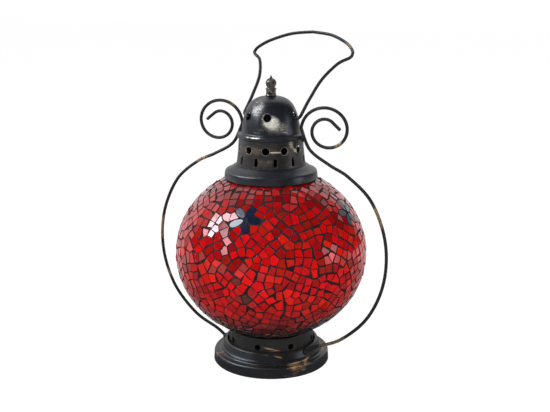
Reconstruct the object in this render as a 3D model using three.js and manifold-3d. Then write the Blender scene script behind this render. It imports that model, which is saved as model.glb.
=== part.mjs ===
// Candle lantern: a mosaic glass globe held between a spun foot and a pierced chimney and dome,
// with two bent side wires that end in scrolls, and a wire bail that swings in the dome.
// Millimetres, +Z up. The origin is the centre of the foot's underside, on the lantern's axis.
// The bail's pivot and the side wires' welds at the dome lie in the XZ plane.
import * as THREE from 'three';
import { ConvexHull } from 'three/addons/math/ConvexHull.js';
import { mergeVertices } from 'three/addons/utils/BufferGeometryUtils.js';
import Module from 'manifold-3d';

const wasm = await Module();
wasm.setup();

// Fits between pieces
const seatGap = 0.3;          // between a piece and the one that carries it
const tileBulge = 0.3;        // how far the corners of a flat tile stand out of the round globe

// Foot: spun sheet with a skirt, a hollow shelf, a step and a lip round the gallery ring
const footSheet = 1.2;
const footHemWidth = 3;       // edge turned in flat under the skirt
const skirtHeight = 6.8;
const skirtTaper = 0.5;
const skirtRound = 2.2;
const shelfWidth = 4;
const shelfFlat = 1.4;
const shelfRise = 1.7;
const stepRound = 1;          // rounded foot of the step
const stepDrawIn = 0.7;
const stepHeight = 5;
const stepTaper = 1.6;
const lipRound = 1;
const lipWidth = 1.2;
const lipGap = 1.4;           // between the lip's edge and the gallery ring

// Plate inside the foot that carries the gallery ring
const plateSheet = 1.2;
const plateDrop = 3.4;        // from the top of the foot's lip to the plate's top face
const plateHole = 26;         // radius of the opening for the candle tray

// Gallery ring: pierced band that the globe sits in
const ringRadius = 34.6;
const ringSheet = 1;
const ringHeight = 14.1;
const ringHoleCount = 8;
const ringHoleRadius = 2.5;
const ringHoleHeight = 6.4;   // above the ring's lower edge
const ringHoleTurn = -35;     // degrees from +X to the first hole

// Candle tray, cup and rivet, drawn down out of the foot
const traySheet = 0.8;
const trayRise = 3;
const trayFlange = 3.6;
const cupRadius = 20.8;
const cupSheet = 0.8;
const cupHeight = 15;
const cupTaper = 0.6;
const cupRound = 1.5;
const dishGap = 1;            // round the rivet's head, in the dish that sinks it below the candle
const dishSlope = 1.2;
const rivetRadius = 1.6;
const rivetHeadRadius = 3.4;
const rivetCrownRadius = 2.2;
const rivetHeadHeight = 1.2;

// Globe: blown glass with flat tiles set on it, sizes over the tiles
const globeRadius = 76.7;
const globeHalfHeight = 68.9;
const globeMouthRadius = 27;
const tileThickness = 1.8;
const tileSize = 9.8;
const tileJitter = 0.24;      // as a share of a tile, how unevenly the hand-cut tiles lie
const tileTilt = 0.02;        // how far each tile leans off the round, in radians
const glassWall = 2.2;

// Collar: spun cap on top of the globe
const collarRadius = 37;
const collarSheet = 1;
const collarRimHeight = 5;
const collarTaper = 0.6;
const collarRound = 1.8;
const collarSlopeRise = 4;
const collarSeatRadius = 28.6;
const collarMouthRadius = 23.6;

// Chimney: pierced sheet, flared where it stands on the collar
const chimneySheet = 0.8;
const chimneyFootRadius = 27.5;
const chimneyTopRadius = 25.3;
const chimneyDraft = 0.7;
const chimneyFlareHeight = 7;
const chimneyHeight = 23.3;
const chimneyHoleCount = 11;
const chimneyHoleRadius = 3;
const chimneyHoleHeight = 14;
const slotWidth = 2.8;
const slotHeight = 6.6;
const slotCentreHeight = 4.9;
const chimneyHoleTurn = -5.8;

// Dome: spun cap with a rolled rim over the chimney
const domeSheet = 0.9;
const rimLap = 2.1;           // how far the rim reaches down over the chimney
const rimHeight = 2.2;
const rimRound = 1.2;
const domeSkirtRadius = 23.3;
const domeHeight = 28.1;      // from the crease above the rim to the apex
const domeShoulderHeight = 22.1;
const domeShoulderRadius = 20.4;
const domeCrownRadius = 15;
const domeHoleRadius = 3.2;
const domeHoleHeight = 13.6;  // above the crease
const ventTurn = 24;          // degrees each side of the Y axis

// Finial, turned or cast, with a stud and nut through the dome
const studRadius = 1.5;
const studLength = 5.4;
const stalkRadius = 3.9;
const stalkHeight = 5.6;
const stalkFlare = 0.5;
const ringBeadRadius = 4.3;
const ringBeadHeight = 0.6;
const neckRadius = 2.8;
const neckHeight = 0.7;
const ballRadius = 4.2;
const ballFoot = -50;         // degrees above the ball's equator where it leaves the neck
const ballTip = 75;           // and where the spike starts
const spikeHeight = 2.2;
const nutRadius = 3.2;
const nutHeight = 2.2;

// Side wires: a bow round the globe and a scroll beside the dome
const frameWire = 2.6;
const frameLean = 3.7;        // degrees that the wires lean, both to the same side of the foot
const weldRadius = 2.3;
const weldHeight = 2.6;       // below the top of the foot's lip
// how far the wire stands off the tiles, at an angle above the globe's equator
const bowStandoff = [
  [-57, 13.2], [-42, 17.6], [-24, 21.7], [-6, 24.2],
  [12, 26], [30, 26.7], [45, 23.5], [56, 20.5],
];
const scrollRadius = 18.8;
const scrollWiden = 1.14;     // a scroll is wider than it is tall
const scrollShrink = 7.45;    // per turn
const scrollTurns = 1.35;     // then the wire ends straight
const scrollEnd = 8.2;
const innerPinch = 1.2;       // the inner curl is tighter by this much
const pinchFrom = 0.75;       // turns
const pinchTo = 1.15;
const scrollLeadIn = 0.15;    // turns before the point nearest the dome
const scrollRise = 7.8;       // scroll centre above the middle of the dome's rim

// Bail: legs hooked through the dome, outline as half-width and distance from the pivot
const bailWire = 2.6;
const bailLean = 50.4;        // degrees back from upright, as it stands
const bailHook = 4.6;
const bailHookInset = 3.4;    // inside the dome's wall
const bailStandoff = 3.4;     // leg clear of the dome's wall
const bailTopHeight = 95.4;
// the leg's flare, as distance out from its foot and height above the pivot
const bailFlare = [[0.2, 12], [0.8, 22], [3.2, 42], [10.4, 60]];
// the shoulder and crown, as half-width and distance below the top
const bailCrown = [[43.2, 28], [44.2, 24], [42.2, 19], [34.5, 11.4], [18.5, 3], [0, 0]];

// Facets
const roundSides = 34;
const innerSides = 24;
const globeSides = 24;
const globeRows = 11;
const smallSides = 10;
const wireSides = 6;
const weldRows = 6;
const bowSteps = 25;
const scrollSteps = 16;       // per turn
const tangentStep = 0.01;     // turns, for the direction at a scroll's end
const bailSteps = 22;
const hookSteps = 4;
const crownSteps = 6;
const ballSteps = 5;
const joinGap = 4;            // least distance from the bow's points to the scroll

// Where the repeatable scatter starts, for the tiles' places and for their tilts
const placeSeed = 4711;
const tiltSeed = 1287;

const degrees = Math.PI / 180;

// One closed mesh with shared vertices and no collapsed triangles
function closed(geometry) {
  geometry.deleteAttribute('normal');
  geometry.deleteAttribute('uv');
  const merged = mergeVertices(geometry, 1e-4);
  const index = [];
  for (let i = 0; i < merged.index.count; i += 3) {
    const [a, b, c] = [0, 1, 2].map((k) => merged.index.getX(i + k));
    if (a !== b && b !== c && c !== a) index.push(a, b, c);
  }
  merged.setIndex(index);
  return merged;
}

function toSolid(geometry) {
  const mesh = closed(geometry);
  return new wasm.Manifold(new wasm.Mesh({
    numProp: 3,
    vertProperties: new Float32Array(mesh.attributes.position.array),
    triVerts: new Uint32Array(mesh.index.array),
  }));
}

function fromSolid(solid) {
  const mesh = solid.getMesh();
  const geometry = new THREE.BufferGeometry();
  geometry.setAttribute('position', new THREE.BufferAttribute(mesh.vertProperties, 3));
  geometry.setIndex(new THREE.BufferAttribute(mesh.triVerts, 1));
  return geometry;
}

// Cuts several tools out of a body
function cut(geometry, tools) {
  let solid = toSolid(geometry);
  for (const tool of tools) solid = solid.subtract(toSolid(tool));
  return fromSolid(solid);
}

// Outline of [radius, height] points, counter-clockwise, turned about the Z axis
function revolve(outline, sides = roundSides) {
  const points = outline.map(([radius, height]) => new THREE.Vector2(radius, height));
  points.push(points[0].clone());
  return closed(new THREE.LatheGeometry(points, sides).rotateX(Math.PI / 2));
}

// Gives a line of [radius, height] points a wall on its left-hand side.
// Both ends are trimmed level or upright, whichever is nearer to square.
function sheet(line, thickness) {
  const points = line.map(([radius, height]) => new THREE.Vector2(radius, height));
  const sides = points.slice(1).map((point, i) => {
    const along = point.clone().sub(points[i]).normalize();
    return new THREE.Vector2(-along.y, along.x);
  });
  const trimmed = (side) => (Math.abs(side.x) > Math.abs(side.y)
    ? new THREE.Vector2(Math.sign(side.x), 0)
    : new THREE.Vector2(0, Math.sign(side.y)));
  const inner = points.map((point, i) => {
    const before = sides[Math.max(i - 1, 0)];
    const after = sides[Math.min(i, sides.length - 1)];
    const atEnd = i === 0 || i === points.length - 1;
    const middle = atEnd ? trimmed(after) : before.clone().add(after).normalize();
    return point.clone().addScaledVector(middle, thickness / middle.dot(before));
  });
  return [...line, ...inner.reverse().map((point) => [point.x, point.y])];
}

// Points round a quarter bend from one direction to another, as a smooth corner
function bend(from, corner, to, steps = 3) {
  const curve = new THREE.QuadraticBezierCurve(
    new THREE.Vector2(...from), new THREE.Vector2(...corner), new THREE.Vector2(...to));
  return curve.getPoints(steps).map((point) => [point.x, point.y]);
}

// Round bar lying along a radius at a height, for piercing a wall
function radialBar(radius, from, to, height, turn) {
  return new THREE.CylinderGeometry(radius, radius, to - from, smallSides)
    .rotateZ(Math.PI / 2)
    .translate((from + to) / 2, 0, height)
    .rotateZ(turn * degrees);
}

function radialBlock(width, tall, from, to, height, turn) {
  return new THREE.BoxGeometry(to - from, width, tall)
    .translate((from + to) / 2, 0, height)
    .rotateZ(turn * degrees);
}

// Round wire along points in the XZ plane
function wireThrough(points, diameter) {
  const positions = [];
  const index = [];
  points.forEach((point, i) => {
    const before = points[Math.max(i - 1, 0)];
    const after = points[Math.min(i + 1, points.length - 1)];
    const along = after.clone().sub(before).normalize();
    for (let k = 0; k < wireSides; k += 1) {
      const angle = ((k + 0.5) / wireSides) * 2 * Math.PI;
      const out = Math.cos(angle) * diameter / 2;
      positions.push(point.x - along.y * out, Math.sin(angle) * diameter / 2, point.y + along.x * out);
    }
  });
  const ring = (i, k) => i * wireSides + (k % wireSides);
  for (let i = 0; i < points.length - 1; i += 1) {
    for (let k = 0; k < wireSides; k += 1) {
      index.push(ring(i, k), ring(i + 1, k), ring(i, k + 1));
      index.push(ring(i, k + 1), ring(i + 1, k), ring(i + 1, k + 1));
    }
  }
  const last = points.length - 1;
  for (let k = 1; k < wireSides - 1; k += 1) {
    index.push(ring(0, 0), ring(0, k), ring(0, k + 1));
    index.push(ring(last, 0), ring(last, k + 1), ring(last, k));
  }
  const geometry = new THREE.BufferGeometry();
  geometry.setAttribute('position', new THREE.Float32BufferAttribute(positions, 3));
  geometry.setIndex(index);
  return geometry;
}

// The foot's radii follow from the gallery ring outwards, and its heights from the floor up
const lipEdge = ringRadius + lipGap;
const lipRadius = lipEdge + lipWidth;
const stepTopRadius = lipRadius + lipRound;
const stepWallRadius = stepTopRadius + stepTaper;
const stepRadius = stepWallRadius + stepDrawIn;
const shelfRadius = stepRadius + shelfWidth;
const skirtTopRadius = shelfRadius + skirtRound;
const footRadius = skirtTopRadius + skirtTaper;
const shelfHeight = skirtHeight + skirtRound;
const stepFoot = shelfHeight + shelfRise;
const stepWallFoot = stepFoot + stepRound;
const stepWallTop = stepWallFoot + stepHeight;
const lipHeight = stepWallTop + lipRound;
const footLine = [
  [footRadius - footHemWidth, 0],
  [footRadius, 0],
  ...bend([skirtTopRadius, skirtHeight], [skirtTopRadius, shelfHeight], [shelfRadius, shelfHeight], 2),
  ...bend([shelfRadius - shelfFlat, shelfHeight], [stepRadius, shelfHeight], [stepRadius, stepFoot], 2),
  [stepWallRadius, stepWallFoot],
  ...bend([stepTopRadius, stepWallTop], [stepTopRadius, lipHeight], [lipRadius, lipHeight], 2),
  [lipEdge, lipHeight],
];
const stepRadiusAt = (height) => stepWallRadius - (stepTaper * (height - stepWallFoot)) / stepHeight;
const plateTop = lipHeight - plateDrop;
const ringTop = plateTop + ringHeight;

// The globe's outer radius at a height, and its height at a radius, measured from its centre
const globeDepthAt = (radius) => globeHalfHeight * Math.sqrt(1 - (radius / globeRadius) ** 2);
const globeCentre = ringTop + seatGap + tileBulge + globeDepthAt(ringRadius - ringSheet);
const collarFoot = globeCentre + globeDepthAt(collarRadius - collarSheet) + seatGap + tileBulge;
const collarShoulder = collarFoot + collarRimHeight + collarRound;
const collarTop = collarShoulder + collarSlopeRise;
const chimneyTop = collarTop + chimneyHeight;
const rimFoot = chimneyTop - rimLap;
const rimRadius = chimneyTopRadius + seatGap + domeSheet;
const domeCrease = rimFoot + rimHeight + rimRound + domeSheet;
const domeTop = domeCrease + domeHeight;
const domeHoles = domeCrease + domeHoleHeight;
const bailPivot = domeHoles - domeHoleRadius + bailWire / 2 + seatGap;

function footShape() {
  return revolve(sheet(footLine, footSheet));
}

// Annular plate under the lip, joined to the foot round its edge
function supportPlate() {
  const edge = stepRadiusAt(plateTop) - footSheet - seatGap;
  const bottom = plateTop - plateSheet;
  return revolve([
    [plateHole, bottom],
    [edge, bottom],
    [edge, plateTop],
    [plateHole, plateTop],
  ], innerSides);
}

function galleryRing() {
  const inner = ringRadius - ringSheet;
  const band = revolve([
    [inner, plateTop],
    [ringRadius, plateTop],
    [ringRadius, ringTop],
    [inner, ringTop],
  ]);
  const holes = [];
  for (let i = 0; i < ringHoleCount; i += 1) {
    const turn = ringHoleTurn + (i * 360) / ringHoleCount;
    holes.push(radialBar(
      ringHoleRadius, inner - ringSheet, ringRadius + ringSheet, plateTop + ringHoleHeight, turn));
  }
  return cut(band, holes);
}

// Tray that plugs into the plate's opening from below
const trayPlug = plateHole - seatGap;
const trayFlangeTop = plateTop - plateSheet - seatGap;
const trayTop = plateTop + trayRise;
function candleTray() {
  const inside = trayPlug - traySheet;
  return revolve(sheet([
    [rivetRadius + seatGap, trayTop - traySheet],
    [inside, trayTop - traySheet],
    [inside, trayFlangeTop - traySheet],
    [trayPlug + trayFlange, trayFlangeTop - traySheet],
  ], traySheet), innerSides);
}

function candleCup() {
  const dish = rivetHeadRadius + dishGap;
  const floor = trayTop + rivetHeadHeight + 2 * seatGap;
  const wall = cupRadius - cupTaper;
  return revolve(sheet([
    [rivetRadius + seatGap, trayTop],
    [dish, trayTop],
    [dish + dishSlope, floor],
    ...bend([wall - cupRound, floor], [wall, floor], [wall, floor + cupRound], 2),
    [cupRadius, trayTop + cupHeight],
  ], cupSheet), innerSides);
}

function cupRivet() {
  const tail = trayTop - traySheet - seatGap;
  const head = trayTop + cupSheet + seatGap;
  return revolve([
    [0, tail - rivetHeadHeight],
    [rivetCrownRadius, tail - rivetHeadHeight],
    [rivetCrownRadius, tail],
    [rivetRadius, tail],
    [rivetRadius, head],
    [rivetHeadRadius, head],
    [rivetCrownRadius, head + rivetHeadHeight],
    [0, head + rivetHeadHeight],
  ], smallSides);
}

// Solid ellipsoid set in from the tiles' outer face by a depth
function globeBody(depth) {
  return new THREE.SphereGeometry(1, globeSides, globeRows)
    .rotateX(Math.PI / 2)
    .scale(globeRadius - depth, globeRadius - depth, globeHalfHeight - depth)
    .translate(0, 0, globeCentre);
}

const mouthBore = () => new THREE.CylinderGeometry(
  globeMouthRadius, globeMouthRadius, 2 * (globeHalfHeight + tileSize), globeSides)
  .rotateX(Math.PI / 2)
  .translate(0, 0, globeCentre);

function glassGlobe() {
  const outside = globeBody(tileThickness + seatGap);
  return cut(outside, [globeBody(tileThickness + seatGap + glassWall), mouthBore()]);
}

// Repeatable scatter between -1 and 1 for the hand-cut tiles
function scatter(seed) {
  const modulus = 2 ** 31 - 1;
  const multiplier = 7 ** 5;
  let state = seed;
  return () => {
    state = (state * multiplier) % modulus;
    return (state / modulus) * 2 - 1;
  };
}

// Centres of the tiles, in uneven rows round the globe from pole to pole, relative to its centre
function tileCentres() {
  const random = scatter(placeSeed);
  const centres = [];
  const rows = Math.round((Math.PI * (globeRadius + globeHalfHeight)) / 2 / tileSize);
  for (let row = 0; row <= rows; row += 1) {
    const polar = (row / rows) * Math.PI;
    const ringLength = 2 * Math.PI * globeRadius * Math.sin(polar);
    const count = Math.max(1, Math.round(ringLength / tileSize));
    const start = random() * Math.PI;
    for (let i = 0; i < count; i += 1) {
      const loose = count > 1 ? tileJitter : 0;
      const turn = start + ((i + random() * loose) / count) * 2 * Math.PI;
      const lift = polar + ((random() * loose) / rows) * Math.PI;
      centres.push(new THREE.Vector3(
        globeRadius * Math.sin(lift) * Math.cos(turn),
        globeRadius * Math.sin(lift) * Math.sin(turn),
        globeHalfHeight * Math.cos(lift)));
    }
  }
  return centres;
}

// The body bounded by a flat face at every tile centre, touching the globe there.
// Each face becomes a point of the polar dual, and each triangle of the dual's hull a corner.
function tiledBody() {
  const random = scatter(tiltSeed);
  const duals = tileCentres().map((centre) => {
    const facing = new THREE.Vector3(
      centre.x / globeRadius ** 2,
      centre.y / globeRadius ** 2,
      centre.z / globeHalfHeight ** 2).normalize();
    facing.add(new THREE.Vector3(random(), random(), random()).multiplyScalar(tileTilt));
    return facing.divideScalar(facing.dot(centre));
  });
  const hull = new ConvexHull().setFromPoints(duals);
  const cornerOf = (face) => face.normal.clone().divideScalar(face.constant);
  const corners = new Map(hull.faces.map((face) => [face, cornerOf(face)]));
  const started = new Set();
  const positions = [];
  for (const face of hull.faces) {
    let edge = face.edge;
    do {
      const dual = edge.head().point;
      if (!started.has(dual)) {
        started.add(dual);
        const outline = [];
        let spoke = edge;
        do {
          outline.push(corners.get(spoke.face));
          spoke = spoke.next.twin;
        } while (spoke !== edge);
        for (let i = 1; i < outline.length - 1; i += 1) {
          positions.push(...outline[0], ...outline[i + 1], ...outline[i]);
        }
      }
      edge = edge.next;
    } while (edge !== face.edge);
  }
  const geometry = new THREE.BufferGeometry();
  geometry.setAttribute('position', new THREE.Float32BufferAttribute(positions, 3));
  return mergeVertices(geometry, 1e-3).translate(0, 0, globeCentre);
}

function mosaicTiles() {
  return cut(tiledBody(), [globeBody(tileThickness), mouthBore()]);
}

function collarShape() {
  return revolve(sheet([
    [collarRadius, collarFoot],
    ...bend(
      [collarRadius - collarTaper, collarFoot + collarRimHeight],
      [collarRadius - collarTaper, collarShoulder],
      [collarRadius - collarTaper - collarRound, collarShoulder], 2),
    [collarSeatRadius, collarTop],
    [collarMouthRadius, collarTop],
  ], collarSheet));
}

function chimneyShape() {
  const wall = revolve(sheet([
    ...bend(
      [chimneyFootRadius, collarTop],
      [chimneyTopRadius + chimneyDraft, collarTop + chimneyFlareHeight],
      [chimneyTopRadius, chimneyTop], 3),
  ], chimneySheet));
  const tools = [];
  for (let i = 0; i < chimneyHoleCount; i += 1) {
    const turn = chimneyHoleTurn + (i * 360) / chimneyHoleCount;
    const between = turn + 180 / chimneyHoleCount;
    const inner = chimneyTopRadius - 2 * chimneySheet;
    const outer = chimneyFootRadius + chimneySheet;
    tools.push(radialBar(chimneyHoleRadius, inner, outer, collarTop + chimneyHoleHeight, turn));
    tools.push(radialBlock(slotWidth, slotHeight, inner, outer, collarTop + slotCentreHeight, between));
  }
  return cut(wall, tools);
}

function domeShape() {
  const crown = new THREE.CubicBezierCurve(
    new THREE.Vector2(domeSkirtRadius, domeCrease),
    new THREE.Vector2(domeShoulderRadius, domeCrease + domeShoulderHeight),
    new THREE.Vector2(domeCrownRadius, domeTop),
    new THREE.Vector2(studRadius + seatGap, domeTop));
  const wall = revolve(sheet([
    [rimRadius, rimFoot],
    ...bend([rimRadius, rimFoot + rimHeight], [rimRadius, rimFoot + rimHeight + rimRound],
      [rimRadius - rimRound, rimFoot + rimHeight + rimRound], 2),
    ...crown.getPoints(crownSteps).map((point) => [point.x, point.y]),
  ], domeSheet));
  const turns = [0, 180, 90 - ventTurn, 90 + ventTurn, 270 - ventTurn, 270 + ventTurn];
  const inner = domeCrownRadius;
  const outer = domeSkirtRadius + domeSheet;
  return cut(wall, turns.map((turn) => radialBar(domeHoleRadius, inner, outer, domeHoles, turn)));
}

function finialShape() {
  const base = domeTop + seatGap;
  const stalkTop = base + stalkHeight;
  const ballCentre = stalkTop + neckHeight - ballRadius * Math.sin(ballFoot * degrees);
  const ball = [];
  for (let i = 0; i <= ballSteps; i += 1) {
    const angle = (ballFoot + ((ballTip - ballFoot) * i) / ballSteps) * degrees;
    ball.push([ballRadius * Math.cos(angle), ballCentre + ballRadius * Math.sin(angle)]);
  }
  return revolve([
    [0, domeTop - studLength],
    [studRadius, domeTop - studLength],
    [studRadius, base],
    [stalkRadius + stalkFlare, base],
    [stalkRadius, base + stalkFlare],
    [stalkRadius, stalkTop - ringBeadHeight],
    [ringBeadRadius, stalkTop],
    [neckRadius, stalkTop + neckHeight],
    ...ball,
    [0, ballCentre + ballRadius + spikeHeight],
  ], smallSides);
}

function finialNut() {
  const corners = [0, 60, 120, 180, 240, 300].map((turn) => new THREE.Vector2(
    nutRadius * Math.cos(turn * degrees), nutRadius * Math.sin(turn * degrees)));
  const hexagon = new THREE.Shape(corners);
  hexagon.holes.push(new THREE.Path().absarc(0, 0, studRadius + seatGap, 0, 2 * Math.PI, true));
  const settings = { depth: nutHeight, bevelEnabled: false, curveSegments: smallSides };
  return new THREE.ExtrudeGeometry(hexagon, settings)
    .translate(0, 0, domeTop - domeSheet - seatGap - nutHeight);
}

// Centre line of the right side wire as points in its own plane, which leans about the rim's weld
const rimMiddle = rimFoot + rimHeight / 2;
const scrollCentreHeight = rimMiddle + scrollRise;
const scrollReach = scrollWiden * Math.sqrt(scrollRadius ** 2 - scrollRise ** 2);
const scrollCentre = rimRadius + seatGap + frameWire / 2 + scrollReach;
function scrollPoint(turn) {
  const angle = Math.PI - turn * 2 * Math.PI;
  const pinch = innerPinch * THREE.MathUtils.smoothstep(turn, pinchFrom, pinchTo);
  const radius = scrollRadius - scrollShrink * turn - pinch;
  return new THREE.Vector2(
    scrollCentre + scrollWiden * radius * Math.cos(angle),
    scrollCentreHeight + radius * Math.sin(angle));
}

// The foot's weld sits on the step, to one side of the XZ plane
const weldDrop = rimMiddle - (lipHeight - weldHeight);
const weldAside = weldDrop * Math.tan(frameLean * degrees);
const weldCentre = new THREE.Vector2(
  Math.sqrt(stepRadiusAt(lipHeight - weldHeight) ** 2 - weldAside ** 2),
  rimMiddle - weldDrop / Math.cos(frameLean * degrees));
function frameLine() {
  const bow = bowStandoff.map(([angle, standoff]) => {
    const flat = Math.cos(angle * degrees);
    const steep = Math.sin(angle * degrees);
    const tiles = 1 / Math.hypot(flat / globeRadius, steep / globeHalfHeight);
    return new THREE.Vector2((tiles + standoff) * flat, globeCentre + (tiles + standoff) * steep);
  });
  const path = new THREE.SplineCurve([weldCentre, ...bow, scrollPoint(-scrollLeadIn), scrollPoint(0)]);
  const points = path.getPoints(bowSteps).filter((point) => point.distanceTo(scrollPoint(0)) > joinGap);
  for (let turn = 0; turn < scrollTurns; turn += 1 / scrollSteps) points.push(scrollPoint(turn));
  const arcEnd = scrollPoint(scrollTurns);
  const along = arcEnd.clone().sub(scrollPoint(scrollTurns - tangentStep)).setLength(scrollEnd);
  points.push(arcEnd, arcEnd.clone().add(along));
  return points;
}

// The wire with its two welds, kept clear of the foot's step and of the dome's rim
function sideWire() {
  const weld = new THREE.SphereGeometry(weldRadius, smallSides, weldRows);
  const footWeld = weld.clone().translate(weldCentre.x, 0, weldCentre.y);
  const rimWeld = weld.clone().translate(rimRadius + seatGap + weldRadius / 2, 0, rimMiddle);
  const wire = toSolid(wireThrough(frameLine(), frameWire)).add(toSolid(footWeld)).add(toSolid(rimWeld))
    .translate([0, 0, -rimMiddle]).rotate([-frameLean, 0, 0]).translate([0, 0, rimMiddle]);
  const footBlock = revolve([
    [0, 0],
    ...footLine.slice(1).map(([radius, height]) => [radius + seatGap, height]),
    [0, lipHeight],
  ]);
  const rimBlock = revolve([
    [0, rimMiddle - weldRadius],
    [rimRadius + seatGap, rimMiddle - weldRadius],
    [rimRadius + seatGap, rimMiddle + weldRadius],
    [0, rimMiddle + weldRadius],
  ]);
  return wire.subtract(toSolid(footBlock)).subtract(toSolid(rimBlock));
}

// Half of the bail from the hook in the dome to the middle of the top, then mirrored
function bailLine() {
  const drawIn = (domeSkirtRadius - domeShoulderRadius) * (domeHoleHeight / domeShoulderHeight);
  const wall = domeSkirtRadius - drawIn;
  const leg = wall + bailStandoff;
  const hook = wall - domeSheet - bailHookInset;
  const half = [
    ...bend([hook, bailHook], [hook, 0], [wall - domeSheet, 0], hookSteps),
    ...bend([wall + domeSheet, 0], [leg, 0], [leg, bailHook], hookSteps),
  ].map(([x, y]) => new THREE.Vector2(x, y));
  const flare = new THREE.SplineCurve([
    half.at(-1),
    ...bailFlare.map(([outward, height]) => new THREE.Vector2(leg + outward, height)),
    ...bailCrown.map(([width, down]) => new THREE.Vector2(width, bailTopHeight - down)),
  ]);
  half.push(...flare.getPoints(bailSteps).slice(1));
  const mirrored = half.slice(0, -1).reverse().map((point) => new THREE.Vector2(-point.x, point.y));
  return [...half, ...mirrored];
}

// Colours of the aged black metal, the glass and the bare rivet
const metal = { color: '#2c2d31', roughness: 0.42, metalness: 0.85 };
const looks = {
  foot: metal,
  support_plate: { color: '#232427', roughness: 0.6, metalness: 0.8 },
  gallery_ring: metal,
  candle_tray: { color: '#232427', roughness: 0.6, metalness: 0.8 },
  candle_cup: { color: '#8d8f92', roughness: 0.4, metalness: 0.9 },
  cup_rivet: { color: '#9a9b9d', roughness: 0.35, metalness: 0.9 },
  glass_globe: { color: '#e8e4e0', roughness: 0.05, metalness: 0, transparent: true, opacity: 0.35 },
  mosaic_tiles: { color: '#9c0d10', roughness: 0.12, metalness: 0 },
  collar: metal,
  chimney: metal,
  dome: metal,
  finial: { color: '#6e655c', roughness: 0.45, metalness: 0.9 },
  finial_nut: { color: '#77787b', roughness: 0.45, metalness: 0.9 },
  frame_wire_right: metal,
  frame_wire_left: metal,
  bail_handle: metal,
};

function piece(name, geometry) {
  const mesh = new THREE.Mesh(geometry, new THREE.MeshStandardMaterial(looks[name]));
  mesh.name = name;
  return mesh;
}

const lantern = new THREE.Group();
lantern.add(
  piece('foot', footShape()),
  piece('support_plate', supportPlate()),
  piece('gallery_ring', galleryRing()),
  piece('glass_globe', glassGlobe()),
  piece('mosaic_tiles', mosaicTiles()),
  piece('collar', collarShape()),
  piece('chimney', chimneyShape()),
  piece('dome', domeShape()),
  piece('finial', finialShape()),
  piece('finial_nut', finialNut()));

// The tray and its cup come down together out of the foot
const tray = new THREE.Group();
tray.add(
  piece('candle_tray', candleTray()),
  piece('candle_cup', candleCup()),
  piece('cup_rivet', cupRivet()));
lantern.add(tray);

// The left wire is the right one's mirror image
lantern.add(
  piece('frame_wire_right', fromSolid(sideWire())),
  piece('frame_wire_left', fromSolid(sideWire().mirror([1, 0, 0]))));

const bail = new THREE.Group();
bail.position.z = bailPivot;
bail.rotation.x = -bailLean * degrees;
bail.add(piece('bail_handle', wireThrough(bailLine(), bailWire)));
lantern.add(bail);

export default lantern;
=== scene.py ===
import random
from math import acos, atan2, cos, dist, hypot, pi, radians, sin, sqrt, tan

import bmesh
import bpy
import numpy as np
from mathutils import Matrix, Vector


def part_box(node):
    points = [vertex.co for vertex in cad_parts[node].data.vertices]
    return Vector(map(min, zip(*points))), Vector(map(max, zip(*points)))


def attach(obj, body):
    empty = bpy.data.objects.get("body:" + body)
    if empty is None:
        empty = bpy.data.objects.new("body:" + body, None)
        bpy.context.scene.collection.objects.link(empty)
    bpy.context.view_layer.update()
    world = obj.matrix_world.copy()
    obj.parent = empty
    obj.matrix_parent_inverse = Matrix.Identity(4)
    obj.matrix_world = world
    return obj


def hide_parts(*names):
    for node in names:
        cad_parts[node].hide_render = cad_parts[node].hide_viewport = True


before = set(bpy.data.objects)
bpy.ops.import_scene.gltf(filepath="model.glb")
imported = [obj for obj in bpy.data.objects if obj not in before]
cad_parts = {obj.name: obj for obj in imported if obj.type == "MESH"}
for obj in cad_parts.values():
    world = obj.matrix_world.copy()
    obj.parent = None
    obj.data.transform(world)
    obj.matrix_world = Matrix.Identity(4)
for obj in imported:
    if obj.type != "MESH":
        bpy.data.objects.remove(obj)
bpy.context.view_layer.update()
print('frame loaded:', len(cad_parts), 'nodes')

mm = 0.001
body = 'lantern_body'


# Lowest or highest point of a node, in millimetres above the foot's underside
def lowest(node):
    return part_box(node)[0][2] / mm


def highest(node):
    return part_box(node)[1][2] / mm


globeCentre = (lowest('mosaic_tiles') + highest('mosaic_tiles')) / 2
collarFoot, collarTop = lowest('collar'), highest('collar')
rimFoot, domeTop = lowest('dome'), highest('dome')
domeHoles = rimFoot + 17.9
rimMiddle = rimFoot + 1.1


# Selecting and shaping

def setMode(name):
    bpy.ops.object.mode_set(mode=name)


def applyPlace():
    bpy.ops.object.transform_apply(location=True, rotation=True, scale=True)


def selectNothing():
    if bpy.context.object and bpy.context.object.mode != 'OBJECT':
        setMode('OBJECT')
    bpy.ops.object.select_all(action='DESELECT')


def pick(piece):
    selectNothing()
    piece.select_set(True)
    bpy.context.view_layer.objects.active = piece


def useModifier(piece, kind, **settings):
    pick(piece)
    modifier = piece.modifiers.new('shape', kind)
    for key, value in settings.items():
        setattr(modifier, key, value)
    bpy.ops.object.modifier_apply(modifier=modifier.name)


def cutAway(piece, tool):
    useModifier(piece, 'BOOLEAN', operation='DIFFERENCE', solver='EXACT', object=tool)
    bpy.data.objects.remove(tool)


def breakEdges(piece, width, sharper, segments=2):  # bevels the edges that turn by more than an angle
    useModifier(piece, 'BEVEL', width=width * mm, segments=segments, limit_method='ANGLE',
                angle_limit=radians(sharper))


def joinPieces(pieces):
    selectNothing()
    for piece in pieces:
        piece.select_set(True)
    bpy.context.view_layer.objects.active = pieces[0]
    bpy.ops.object.join()
    return pieces[0]


def copied(piece, move):  # a copy with its own mesh, moved by a matrix
    copy = piece.copy()
    copy.data = piece.data.copy()
    bpy.context.scene.collection.objects.link(copy)
    copy.data.transform(move)
    return copy


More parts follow.
